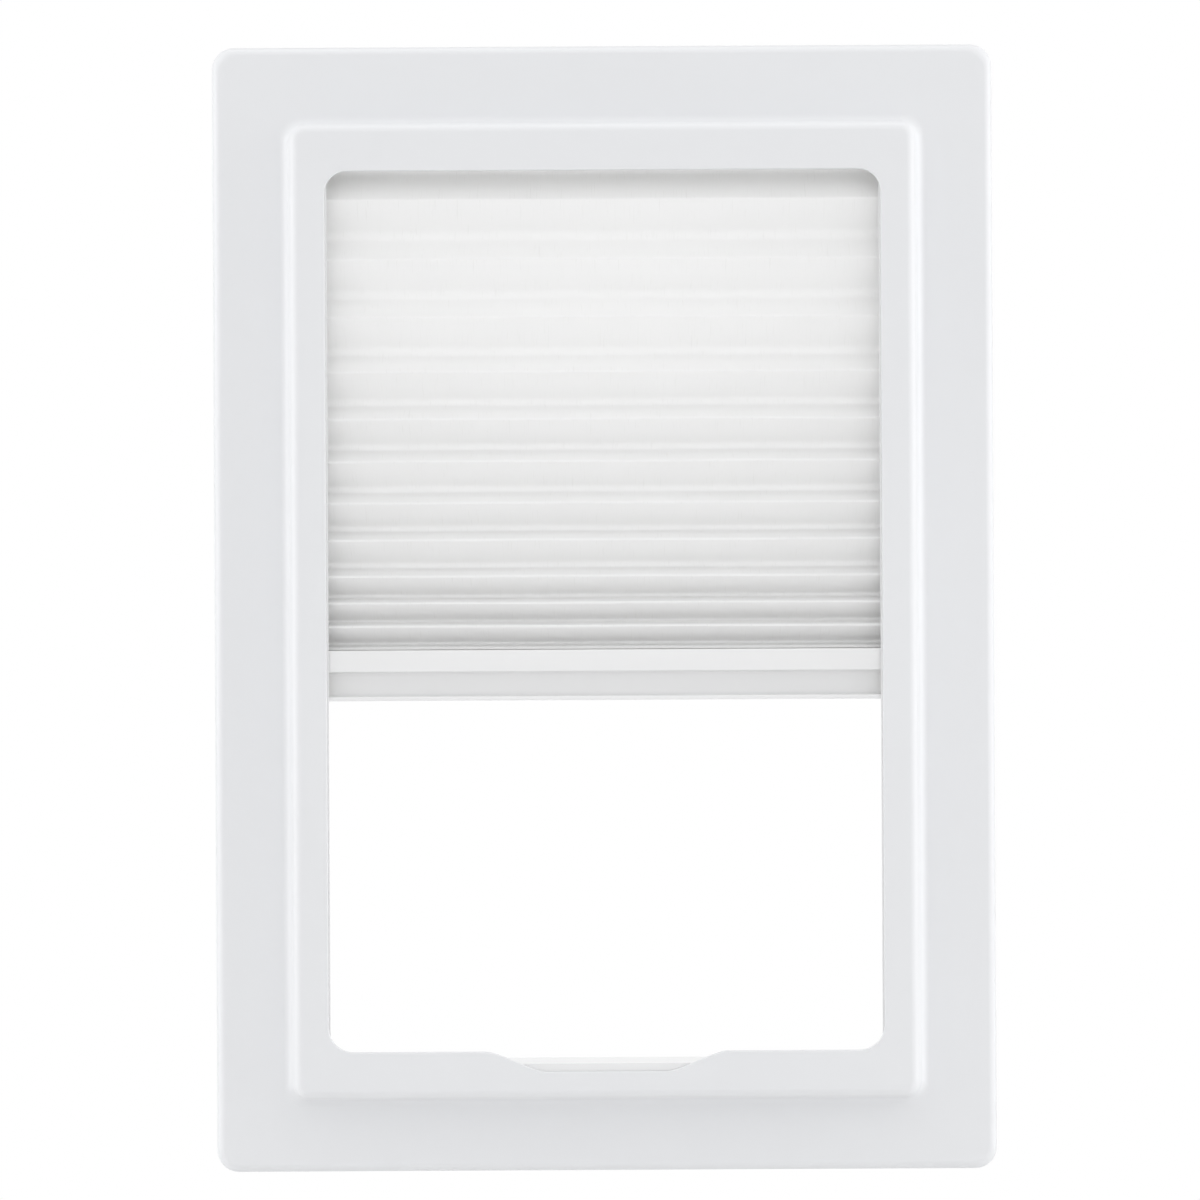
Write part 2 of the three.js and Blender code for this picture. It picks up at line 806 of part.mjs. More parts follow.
// A band above, a grip recess below it and a lip under that, a slot on top for the foot strip
function pullRailSection() {
  const wall = pullRailWall;
  const [slotFront, slotBack] = [railMiddle - footSlotWidth / 2, railMiddle + footSlotWidth / 2];
  const chamberFront = railMiddle - footChamberWidth / 2;
  const chamberBack = railMiddle + footChamberWidth / 2;
  const edge = pullRailEdgeRadius;
  const shape = roundedOutline([
    [railFront, railTop, edge],
    [railFront, gripTop, edge],
    [gripBack, gripTop, pullRailGripRadius],
    [gripBack, gripBottom, pullRailGripRadius],
    [railFront, gripBottom, edge],
    [railFront, railBottom, edge],
    [railBack, railBottom, edge],
    [railBack, railTop, edge],
    [slotBack, railTop, 0],
    [slotBack, railTop - wall, 0],
    [chamberBack, railTop - wall, 0],
    [chamberBack, footStripFloor, 0],
    [chamberFront, footStripFloor, 0],
    [chamberFront, railTop - wall, 0],
    [slotFront, railTop - wall, 0],
    [slotFront, railTop, 0],
  ]);
  shape.holes.push(
    outline([
      [gripBack + wall, railBottom + wall],
      [railBack - wall, railBottom + wall],
      [railBack - wall, footStripFloor - wall],
      [railFront + wall, footStripFloor - wall],
      [railFront + wall, gripTop + wall],
      [gripBack + wall, gripTop + wall],
    ]),
  );
  return shape;
}

const glideScrewX = railEnd - glideTongueLength / 2;
const glideScrewZ = (crossCordZ + railBottom) / 2;
let pullRail = solidOf(runAlong('x', pullRailSection(), -railEnd, railEnd));
for (const [, side] of sides) {
  const hole = pinAlongY(
    side * glideScrewX,
    glideScrewZ,
    glideScrewRadius + fit,
    railBack - pullRailWall - cutOverrun,
    railBack + cutOverrun,
  );
  pullRail = pullRail.subtract(solidOf(hole));
}
addPiece('pull_rail', geometryOf(pullRail), whiteEnamel);

const footStripHalf = footChamberWidth / 2 - fit;
const footStrip = boxBetween(
  [-railEnd, railMiddle - footStripHalf, footStripFloor + fit],
  [railEnd, railMiddle + footStripHalf, footStripTop],
);
addPiece('foot_strip', footStrip, whiteNylon);

// Glides: a shoe that fills the channel and a tongue in the rail's chamber, with both cords through it
const glideOuter = channelWeb - fit - cornerTongueThickness - glideClearance;
for (const [label, side] of sides) {
  const shoeInner = side * (railEnd + fit);
  const shoeOuter = side * glideOuter;
  const shoe = boxBetween(
    [
      Math.min(shoeInner, shoeOuter),
      cassetteFront + channelWall + glideClearance,
      railBottom + glideClearance,
    ],
    [
      Math.max(shoeInner, shoeOuter),
      cassetteBack - channelWall - glideClearance,
      railTop - glideClearance,
    ],
  );
  const tongueInner = side * (railEnd - glideTongueLength);
  const tongueOuter = side * (railEnd + fit + weld);
  const tongue = boxBetween(
    [Math.min(tongueInner, tongueOuter), gripBack + pullRailWall + fit, railBottom + pullRailWall + fit],
    [Math.max(tongueInner, tongueOuter), railBack - pullRailWall - fit, gripTop - fit],
  );
  let solid = solidOf(shoe).add(solidOf(tongue));
  const [above, below] = [railTop + cutOverrun, railBottom - cutOverrun];
  for (const route of [
    crossRoute(-1, cordFront, above, below),
    crossRoute(1, cordBack, above, below),
  ]) {
    solid = solid.subtract(solidOf(tubeAlong(route, cordBoreRadius, boreSides)));
  }
  const screwHole = pinAlongY(
    side * glideScrewX,
    glideScrewZ,
    glideScrewRadius + fit,
    railBack - glideScrewLength - fit,
    railBack,
  );
  solid = solid.subtract(solidOf(screwHole));
  addPiece(`end_glide_${label}`, geometryOf(solid), whiteNylon);
}

for (const [label, side] of sides) {
  const screw = panHeadScrew(
    side * glideScrewX,
    glideScrewZ,
    railBack + fit,
    glideScrewRadius,
    glideScrewHeadRadius,
    glideScrewHeadHeight,
    glideScrewLength,
  );
  addPiece(`glide_screw_${label}`, screw, zincSteel);
}

// Cords, in stretches that each follow one body
const crossTop = railTop - glideClearance;
const crossBottom = railBottom + glideClearance;
addPiece(
  'cross_cord_front',
  tubeAlong(crossRoute(-1, cordFront, crossTop, crossBottom), cordRadius, cordSides),
  whiteCord,
);
addPiece(
  'cross_cord_back',
  tubeAlong(crossRoute(1, cordBack, crossTop, crossBottom), cordRadius, cordSides),
  whiteCord,
);

for (const [label, side] of sides) {
  const y = upperCordDepth[label];
  const route = [
    [side * cordX, y, stopSeat],
    [side * cordX, y, crossTop + fit],
  ];
  addPiece(`upper_cord_${label}`, tubeAlong(route, cordRadius, cordSides), whiteCord);
}

const knotX = channelMouth - springStart - cordKnotRadius - springCoilPitch;
for (const [label, side] of sides) {
  const y = lowerCordDepth[label];
  const route = sillRoute(side, y, crossBottom - fit, knotX);
  const knot = new THREE.SphereGeometry(cordKnotRadius, cordSides, cordSides);
  knot.translate(side * knotX, y, sillCordZ);
  const solid = solidOf(tubeAlong(route, cordRadius, cordSides)).add(solidOf(knot));
  addPiece(`lower_cord_${label}`, geometryOf(solid), whiteCord);
}

for (const [label, side] of sides) {
  const stop = new THREE.CylinderGeometry(cordStopRadius, cordStopRadius, cordStopHeight, boreSides);
  stop.rotateX(Math.PI / 2);
  stop.translate(side * cordX, upperCordDepth[label], stopSeat + fit + cordStopHeight / 2);
  addPiece(`cord_stop_${label}`, facingOut(stop), zincSteel);
}

// Springs: a coil on the cord's line, then a lead and a hook round the pin
function springRoute(side, y) {
  const points = [];
  const steps = springTurns * stepsPerTurn;
  const start = channelMouth - springStart;
  for (let i = 0; i <= steps; i += 1) {
    const turn = i / stepsPerTurn;
    const angle = 2 * Math.PI * turn;
    points.push([
      side * (start - springCoilPitch * turn),
      y + springCoilRadius * Math.sin(angle),
      sillCordZ + springCoilRadius * Math.cos(angle),
    ]);
  }
  const hookRadius = springPinRadius + fit + springWireRadius;
  const hook = arc([springPinX, sillCordZ], hookRadius, Math.PI / 2, (3 * Math.PI) / 2, stepsPerTurn);
  for (const [x, z] of hook) {
    points.push([side * x, y, z]);
  }
  return points;
}

// Least gap of the coil to itself: points at least half a turn apart along the wire
function coilGap(points) {
  const apart = stepsPerTurn / 2;
  let least = Infinity;
  for (let i = 0; i < points.length; i += 1) {
    for (let j = i + apart; j < points.length; j += 1) {
      const reach = new THREE.Vector3(...points[i]).distanceTo(new THREE.Vector3(...points[j]));
      least = Math.min(least, reach - 2 * springWireRadius);
    }
  }
  return least;
}

for (const [label, side] of sides) {
  const y = lowerCordDepth[label];
  const route = springRoute(side, y);
  console.log(`cord_spring_${label}: least gap to itself ${coilGap(route).toFixed(2)} mm`);
  addPiece(`cord_spring_${label}`, tubeAlong(route, springWireRadius, springSides), springSteel);
  const pin = pinAlongY(side * springPinX, sillCordZ, springPinRadius, cassetteFront, cassetteBack);
  addPiece(`spring_pin_${label}`, facingOut(pin), zincSteel);
}

export default blind;
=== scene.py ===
import bpy
import bmesh
import json
import math
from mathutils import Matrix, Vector
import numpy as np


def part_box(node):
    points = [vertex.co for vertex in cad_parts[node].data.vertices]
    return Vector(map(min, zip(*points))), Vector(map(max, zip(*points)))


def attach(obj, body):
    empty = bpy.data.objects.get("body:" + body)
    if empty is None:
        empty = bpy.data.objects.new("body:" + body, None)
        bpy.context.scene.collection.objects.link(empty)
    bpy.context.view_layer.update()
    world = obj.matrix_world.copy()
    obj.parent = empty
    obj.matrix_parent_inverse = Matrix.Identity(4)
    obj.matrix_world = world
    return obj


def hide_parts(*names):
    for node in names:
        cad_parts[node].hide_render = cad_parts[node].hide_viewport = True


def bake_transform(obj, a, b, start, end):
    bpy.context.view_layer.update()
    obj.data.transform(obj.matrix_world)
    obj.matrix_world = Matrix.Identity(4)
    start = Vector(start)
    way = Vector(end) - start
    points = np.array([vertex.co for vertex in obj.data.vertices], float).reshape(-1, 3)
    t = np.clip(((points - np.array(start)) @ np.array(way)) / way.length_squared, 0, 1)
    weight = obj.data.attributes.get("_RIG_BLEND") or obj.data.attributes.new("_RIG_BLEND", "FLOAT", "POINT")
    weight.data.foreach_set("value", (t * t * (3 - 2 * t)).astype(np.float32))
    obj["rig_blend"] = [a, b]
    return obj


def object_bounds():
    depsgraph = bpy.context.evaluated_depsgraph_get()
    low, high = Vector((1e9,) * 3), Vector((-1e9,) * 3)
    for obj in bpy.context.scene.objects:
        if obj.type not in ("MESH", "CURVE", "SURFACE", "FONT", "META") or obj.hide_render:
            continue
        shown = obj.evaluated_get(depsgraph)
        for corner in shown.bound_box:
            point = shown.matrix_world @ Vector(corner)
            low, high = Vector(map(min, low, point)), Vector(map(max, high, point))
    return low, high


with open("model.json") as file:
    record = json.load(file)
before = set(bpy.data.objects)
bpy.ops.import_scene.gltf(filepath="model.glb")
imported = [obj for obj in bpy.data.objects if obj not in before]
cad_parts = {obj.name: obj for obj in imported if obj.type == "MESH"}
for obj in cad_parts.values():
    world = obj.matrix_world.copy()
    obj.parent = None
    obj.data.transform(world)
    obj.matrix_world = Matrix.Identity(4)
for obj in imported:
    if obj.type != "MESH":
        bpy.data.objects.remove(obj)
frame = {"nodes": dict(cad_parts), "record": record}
cad_low, cad_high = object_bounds()

# Camera and studio
# The blind hangs upright and square to the lens. The lens is long, and it looks a little past the middle
# of the window opening. Even daylight fills the room, stronger strips of it graze the blind from above and
# from both sides, a weak one comes from the front, and a sheet of light behind the opening is the window.
CAMERA_DISTANCE = 2.200
CAMERA_LENS = 104.3
CAMERA_SHIFT_X = -0.0028
CAMERA_SHIFT_Z = 0.0067
CAMERA_ROLL = math.radians(0.30)
SENSOR_WIDTH = 36.0
FLOOR_DROP = 0.55
FLOOR_SIZE = 6.0

scene = bpy.context.scene
scene.view_settings.view_transform = "Standard"

camera_data = bpy.data.cameras.new("camera")
camera_data.lens = CAMERA_LENS
camera_data.sensor_width = SENSOR_WIDTH
camera = bpy.data.objects.new("camera", camera_data)
camera.location = (CAMERA_SHIFT_X, cad_low.y - CAMERA_DISTANCE, CAMERA_SHIFT_Z)
camera.rotation_euler = (math.radians(90), CAMERA_ROLL, 0)
scene.collection.objects.link(camera)
scene.camera = camera


def soft_lamp(name, place, aim, width, height, power):
    """An area lamp of a given size that faces the point it is aimed at."""
    data = bpy.data.lights.new(name, "AREA")
    data.shape = "RECTANGLE"
    data.size = width
    data.size_y = height
    data.energy = power
    lamp = bpy.data.objects.new(name, data)
    lamp.location = place
    lamp.rotation_euler = (Vector(aim) - Vector(place)).to_track_quat("-Z", "Y").to_euler()
    scene.collection.objects.link(lamp)
    return lamp


# Each lamp's place, the point it is aimed at, its width and height, and its power in watts
soft_lamp("overhead_strip", (0, 0.10, 4.00), (0, 0.10, 0), 4.8, 0.8, 37)
soft_lamp("left_strip", (-3.0, -0.15, 0.1), (0, -0.02, 0), 0.8, 3.0, 31)
soft_lamp("right_strip", (3.0, -0.25, 0.1), (0, -0.02, 0), 0.8, 3.0, 36)
front_fill = soft_lamp("front_fill", (0, -3.4, -0.30), (0, 0, 0), 3.0, 0.5, 8.5)
front_fill.visible_glossy = False
window_glow = soft_lamp("window_glow", (0, 0.06, 0), (0, 0, 0), 0.52, 0.64, 0.80)
window_glow.visible_camera = False
window_glow.visible_glossy = False


def add_node(tree, kind, **settings):
    """A node with its settings, given by their names, and its unlinked inputs, given as a dict."""
    node = tree.nodes.new(kind)
    for label, value in settings.pop("inputs", {}).items():
        node.inputs[label].default_value = value
    for label, value in settings.items():
        setattr(node, label, value)
    return node


def seen_rays(tree):
    """A value that is 1 for rays from the lens, from a mirror or through glass, and 0 for all others."""
    path = add_node(tree, "ShaderNodeLightPath")
    mirrored = add_node(tree, "ShaderNodeMath", operation="MAXIMUM")
    direct = add_node(tree, "ShaderNodeMath", operation="MAXIMUM")
    tree.links.new(path.outputs["Is Glossy Ray"], mirrored.inputs[0])
    tree.links.new(path.outputs["Is Transmission Ray"], mirrored.inputs[1])
    tree.links.new(path.outputs["Is Camera Ray"], direct.inputs[0])
    tree.links.new(mirrored.outputs["Value"], direct.inputs[1])
    return direct.outputs["Value"]


# The lens and every mirror see pure white. The light that falls on the blind is a little weaker than white
# from the room's side, and weak from the roof's side, where only the window glows.
FRONT_LIGHT = (0.930, 0.931, 0.933, 1)
REAR_LIGHT = (0.30, 0.30, 0.30, 1)
LIGHT_TURN = {"From Min": -0.1, "From Max": 0.2}

world = bpy.data.worlds.new("studio")
scene.world = world
world.use_nodes = True
sky = world.node_tree
sky.nodes.clear()
sky_out = add_node(sky, "ShaderNodeOutputWorld")
sky_seen = add_node(sky, "ShaderNodeBackground", inputs={"Color": (1, 1, 1, 1)})
sky_light = add_node(sky, "ShaderNodeBackground")
sky_mix = add_node(sky, "ShaderNodeMixShader")
sky_place = add_node(sky, "ShaderNodeTexCoord")
sky_axes = add_node(sky, "ShaderNodeSeparateXYZ")
sky_turn = add_node(sky, "ShaderNodeMapRange", interpolation_type="SMOOTHSTEP", inputs=LIGHT_TURN)
sky_tones = add_node(sky, "ShaderNodeMix", data_type="RGBA")
sky_tones.inputs["A"].default_value = FRONT_LIGHT
sky_tones.inputs["B"].default_value = REAR_LIGHT
link = sky.links.new
link(sky_place.outputs["Generated"], sky_axes.inputs["Vector"])
link(sky_axes.outputs["Y"], sky_turn.inputs["Value"])
link(sky_turn.outputs["Result"], sky_tones.inputs["Factor"])
link(sky_tones.outputs["Result"], sky_light.inputs["Color"])
link(seen_rays(sky), sky_mix.inputs["Fac"])
link(sky_light.outputs["Background"], sky_mix.inputs[1])
link(sky_seen.outputs["Background"], sky_mix.inputs[2])
link(sky_mix.outputs["Shader"], sky_out.inputs["Surface"])


def deselect_everything():
    """The loaded model comes selected, and operators act on all that is selected."""
    if bpy.context.object and bpy.context.object.mode != "OBJECT":
        bpy.ops.object.mode_set(mode="OBJECT")
    bpy.ops.object.select_all(action="DESELECT")


def place_in_mesh(piece):
    """Moves a piece's place from its object into its mesh."""
    deselect_everything()
    piece.select_set(True)
    bpy.context.view_layer.objects.active = piece
    bpy.ops.object.transform_apply(location=True, rotation=True, scale=True)


# The floor lies well below the blind. The lens sees it nearly white, with a trace of the blind's shadow.
FLOOR_TONE = (0.86, 0.86, 0.86, 1)
FLOOR_ROUGHNESS = 0.9
FLOOR_SEEN_WHITE = 0.85

deselect_everything()
bpy.ops.mesh.primitive_plane_add(size=FLOOR_SIZE, location=(0, 0, cad_low.z - FLOOR_DROP))
floor = bpy.context.object
floor.name = "studio_floor"
place_in_mesh(floor)
floor_paint = bpy.data.materials.new("pale_floor")
floor_paint.use_nodes = True
paint = floor_paint.node_tree
floor_skin = paint.nodes["Principled BSDF"]
floor_skin.inputs["Base Color"].default_value = FLOOR_TONE
floor_skin.inputs["Roughness"].default_value = FLOOR_ROUGHNESS
floor_seen = add_node(paint, "ShaderNodeEmission")
floor_share = add_node(paint, "ShaderNodeMath", operation="MULTIPLY", inputs={1: FLOOR_SEEN_WHITE})
floor_mix = add_node(paint, "ShaderNodeMixShader")
link = paint.links.new
link(seen_rays(paint), floor_share.inputs[0])
link(floor_share.outputs["Value"], floor_mix.inputs["Fac"])
link(floor_skin.outputs["BSDF"], floor_mix.inputs[1])
link(floor_seen.outputs["Emission"], floor_mix.inputs[2])
link(floor_mix.outputs["Shader"], paint.nodes["Material Output"].inputs["Surface"])
floor.data.materials.append(floor_paint)


# Fascia
# One white ABS moulding, 3 mm thick: the flange with its turned lip, the raised bezel, the crisp window
# opening and the finger notch. It is modelled as a skin of outlines and then given its wall.
WALL = 0.003
OPENING_WIDTH = 0.352
OPENING_HEIGHT = 0.558
OPENING_TOP_RADIUS = 0.014
OPENING_BOTTOM_RADIUS = 0.016
OPENING_EDGE = 0.0008
NOTCH_WIDTH = 0.153
NOTCH_FLAT = 0.076
NOTCH_DEPTH = 0.0128
NOTCH_BEND_SHARE = 0.22
BEZEL_HALF_WIDTH = 0.199
BEZEL_HALF_HEIGHT = 0.3096
BEZEL_CORNER = 0.010
BEZEL_EDGE = 0.0068
BEZEL_FOOT = 0.0080
BEZEL_DRAFT = math.radians(5)
BEZEL_LEAN = math.tan(BEZEL_DRAFT)
FLANGE_DEPTH = 0.010
FLANGE_CORNER = 0.014
FLANGE_LIP = 0.007
FACE_MARGIN = 0.012
APART = 0.1
CORNER_SEGMENTS = 14
ROUNDING_SEGMENTS = 8
CLOSE = 1e-6


# Moulded, enamelled, metal and braided pieces share one kind of texture: a noise that lifts the surface a few
# hundredths of a millimetre, varies its gloss and shifts its tone a little
def new_group(name, inputs, outputs):
    """A shader node group with named value inputs and outputs, and its input and output nodes."""
    group = bpy.data.node_groups.new(name, "ShaderNodeTree")
    for label, kind, value in inputs:
        socket = group.interface.new_socket(label, in_out="INPUT", socket_type=kind)
        if value is not None:
            socket.default_value = value
    for label, kind in outputs:
        group.interface.new_socket(label, in_out="OUTPUT", socket_type=kind)
    return group, group.nodes.new("NodeGroupInput"), group.nodes.new("NodeGroupOutput")


GRAIN_NOISE = {"Detail": 3.0, "Roughness": 0.6}
MOTTLE_NOISE = {"Detail": 4.0, "Roughness": 0.55}
MOTTLE_RANGE = {"From Min": 0.3, "From Max": 0.7}


def surface_grain_group():
    """Fine grain and slow mottle over Object coordinates: a height, a gloss change and a tone mask."""
    group, inside, outside = new_group(
        "surface_grain",
        [
            ("Vector", "NodeSocketVector", None),
            ("Grain Scale", "NodeSocketFloat", 900.0),
            ("Mottle Scale", "NodeSocketFloat", 9.0),
            ("Roughness Low", "NodeSocketFloat", 0.40),
            ("Roughness High", "NodeSocketFloat", 0.50),
        ],
        [
            ("Height", "NodeSocketFloat"),
            ("Roughness", "NodeSocketFloat"),
            ("Tone", "NodeSocketFloat"),
        ],
    )
    grain = add_node(group, "ShaderNodeTexNoise", inputs=GRAIN_NOISE)
    mottle = add_node(group, "ShaderNodeTexNoise", inputs=MOTTLE_NOISE)
    spread = add_node(group, "ShaderNodeMapRange", inputs=MOTTLE_RANGE)
    link = group.links.new
    link(inside.outputs["Vector"], grain.inputs["Vector"])
    link(inside.outputs["Vector"], mottle.inputs["Vector"])
    link(inside.outputs["Grain Scale"], grain.inputs["Scale"])
    link(inside.outputs["Mottle Scale"], mottle.inputs["Scale"])
    link(mottle.outputs["Fac"], spread.inputs["Value"])
    link(inside.outputs["Roughness Low"], spread.inputs["To Min"])
    link(inside.outputs["Roughness High"], spread.inputs["To Max"])
    link(grain.outputs["Fac"], outside.inputs["Height"])
    link(spread.outputs["Result"], outside.inputs["Roughness"])
    link(mottle.outputs["Fac"], outside.inputs["Tone"])
    return group


surface_grain = surface_grain_group()


def grained_material(name, pale, deep, grain, mottle, gloss, bump, metallic=0.0, stretch=(1, 1, 1)):
    """A plastic, enamel or metal: two close tones mottled together, a gloss range and a fine grain."""
    material = bpy.data.materials.new(name)
    material.use_nodes = True
    tree = material.node_tree
    shader = tree.nodes["Principled BSDF"]
    shader.inputs["Metallic"].default_value = metallic
    place = add_node(tree, "ShaderNodeTexCoord")
    mapping = add_node(tree, "ShaderNodeMapping", inputs={"Scale": stretch})
    texture = add_node(tree, "ShaderNodeGroup", node_tree=surface_grain)
    for label, value in [
        ("Grain Scale", grain),
        ("Mottle Scale", mottle),
        ("Roughness Low", gloss[0]),
        ("Roughness High", gloss[1]),
    ]:
        texture.inputs[label].default_value = value
    tones = add_node(tree, "ShaderNodeMix", data_type="RGBA")
    tones.inputs["A"].default_value = (*deep, 1)
    tones.inputs["B"].default_value = (*pale, 1)
    relief = add_node(tree, "ShaderNodeBump", inputs={"Strength": bump[0], "Distance": bump[1]})
    link = tree.links.new
    link(place.outputs["Object"], mapping.inputs["Vector"])
    link(mapping.outputs["Vector"], texture.inputs["Vector"])
    link(texture.outputs["Tone"], tones.inputs["Factor"])
    link(texture.outputs["Height"], relief.inputs["Height"])
    link(tones.outputs["Result"], shader.inputs["Base Color"])
    link(texture.outputs["Roughness"], shader.inputs["Roughness"])
    link(relief.outputs["Normal"], shader.inputs["Normal"])
    return material


fascia_low, fascia_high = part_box("fascia")
bezel_front = fascia_low.y
flange_front = -FLANGE_DEPTH
bezel_raise = flange_front - bezel_front

white_abs = grained_material(
    "white_abs",
    pale=(0.785, 0.792, 0.806),
    deep=(0.765, 0.772, 0.788),
    grain=1100,
    mottle=7,
    gloss=(0.40, 0.48),
    bump=(0.22, 0.00012),
)


def select_points(mesh_edit, wanted):
    """Selects the points that a test picks, and nothing else."""
    for v in mesh_edit.verts:
        v.select = wanted(v.co)
    mesh_edit.select_flush_mode()


def near(a, b):
    """Whether two measures are the same, but for rounding."""
    return abs(a - b) < CLOSE


def add_outline(piece, name, half_width, low, high, depth, low_radius, high_radius):
    """A rectangle with round corners at a depth, as a loop of edges in a point group of its own."""
    bpy.ops.mesh.select_all(action="DESELECT")
    bpy.ops.mesh.primitive_plane_add(size=1, rotation=(math.radians(90), 0, 0))
    bpy.ops.transform.resize(value=(2 * half_width, 1, high - low))
    bpy.ops.transform.translate(value=(0, depth, (low + high) / 2))
    group = piece.vertex_groups.new(name=name)
    piece.vertex_groups.active_index = group.index
    bpy.ops.object.vertex_group_assign()
    for level, radius in [(low, low_radius), (high, high_radius)]:
        shape = bmesh.from_edit_mesh(piece.data)
        layer = shape.verts.layers.deform.verify()
        for v in shape.verts:
            v.select = group.index in v[layer] and near(v.co.z, level)
        shape.select_flush_mode()
        bmesh.update_edit_mesh(piece.data)
        bpy.ops.mesh.bevel(offset=radius, segments=CORNER_SEGMENTS, affect="VERTICES")
        bpy.ops.object.vertex_group_assign()
    bpy.ops.mesh.select_all(action="DESELECT")
    bpy.ops.object.vertex_group_select()
    bpy.ops.mesh.delete(type="ONLY_FACE")


def pick_group(piece, *names):
    """Selects the points of the named groups, and the edges between them."""
    bpy.ops.mesh.select_all(action="DESELECT")
    for name in names:
        piece.vertex_groups.active_index = piece.vertex_groups[name].index
        bpy.ops.object.vertex_group_select()


def bezel_outline(grow, depth):
    """The bezel's outline at a depth, grown by what the draft of its walls adds there."""
    low, high = -BEZEL_HALF_HEIGHT - grow, BEZEL_HALF_HEIGHT + grow
    radius = BEZEL_CORNER + grow
    return BEZEL_HALF_WIDTH + grow, low, high, depth, radius, radius


deselect_everything()
bpy.ops.mesh.primitive_plane_add(size=1)
fascia = bpy.context.object
fascia.name = "fascia_moulding"
bpy.ops.object.mode_set(mode="EDIT")
bpy.ops.mesh.delete(type="VERT")
bpy.ops.mesh.select_mode(type="VERT")

front_grow = -BEZEL_EDGE * BEZEL_LEAN
foot_grow = front_grow + bezel_raise * BEZEL_LEAN
face_x, face_z = BEZEL_HALF_WIDTH - FACE_MARGIN, BEZEL_HALF_HEIGHT - FACE_MARGIN
flange_sizes = (fascia_high.x, fascia_low.z, fascia_high.z)
flange_corners = (FLANGE_CORNER, FLANGE_CORNER)
outlines = [
    ("lip_rim", *flange_sizes, 0, *flange_corners),
    ("flange_edge", *flange_sizes, flange_front, *flange_corners),
    ("bezel_foot", *bezel_outline(foot_grow, flange_front)),
    ("bezel_edge", *bezel_outline(front_grow, bezel_front)),
    ("face_inner", face_x, -face_z, face_z, bezel_front, OPENING_EDGE, OPENING_EDGE),
]

# The outlines are skinned in pairs while they stand apart like the rings of a telescope, then pushed home
for i, (name, half_width, low, high, depth, low_radius, high_radius) in enumerate(outlines):
    add_outline(fascia, name, half_width, low, high, depth - i * APART, low_radius, high_radius)
for outer, inner in zip(outlines, outlines[1:]):
    pick_group(fascia, outer[0], inner[0])
    bpy.ops.mesh.bridge_edge_loops()
for i, outline in enumerate(outlines):
    pick_group(fascia, outline[0])
    bpy.ops.transform.translate(value=(0, i * APART, 0))

foot_x, foot_z = BEZEL_HALF_WIDTH + BEZEL_FOOT / 2, BEZEL_HALF_HEIGHT + BEZEL_FOOT / 2


def round_ring(depth, x, z, outside, width):
    """Rounds the outline at a depth that lies outside, or inside, a rectangle of the given half sizes."""
    shape = bmesh.from_edit_mesh(fascia.data)
    select_points(shape, lambda co: near(co.y, depth) and (abs(co.x) > x or abs(co.z) > z) == outside)
    bmesh.update_edit_mesh(fascia.data)
    bpy.ops.mesh.bevel(offset=width, segments=ROUNDING_SEGMENTS, affect="EDGES")


wall_turn = math.tan((math.pi / 2 - BEZEL_DRAFT) / 2)
beyond_x, beyond_z = face_x + OPENING_EDGE, face_z + OPENING_EDGE
round_ring(bezel_front, beyond_x, beyond_z, True, BEZEL_EDGE * wall_turn)
round_ring(flange_front, foot_x, foot_z, False, BEZEL_FOOT * wall_turn)
round_ring(flange_front, foot_x + BEZEL_FOOT, foot_z + BEZEL_FOOT, True, FLANGE_LIP)

# The flat face is filled whole, and the skin gets its wall
bpy.ops.mesh.select_mode(type="VERT")
pick_group(fascia, "face_inner")
bpy.ops.mesh.edge_face_add()
bpy.ops.mesh.select_all(action="SELECT")
bpy.ops.mesh.normals_make_consistent(inside=False)
shape = bmesh.from_edit_mesh(fascia.data)
front_faces = [f for f in shape.faces if near(f.calc_center_median().y, bezel_front)]
if front_faces[0].normal.y > 0:
    bpy.ops.mesh.flip_normals()
bpy.ops.object.mode_set(mode="OBJECT")


def apply_modifier(piece, kind, **settings):
    """Adds a modifier with its settings to a piece and applies it."""
    deselect_everything()
    piece.select_set(True)
    bpy.context.view_layer.objects.active = piece
    modifier = piece.modifiers.new(kind.lower(), kind)
    for label, value in settings.items():
        setattr(modifier, label, value)
    bpy.ops.object.modifier_apply(modifier=modifier.name)


apply_modifier(fascia, "SOLIDIFY", thickness=WALL, offset=-1, use_even_offset=True)

# The opening is cut by a prism whose outline is drawn as one closed curve: four round corners, and in the
# lower edge the notch, whose sides are smooth S curves down to its flat floor
ROUND_HANDLE_SHARE = 0.5523
CUTTER_DEPTH = 0.02


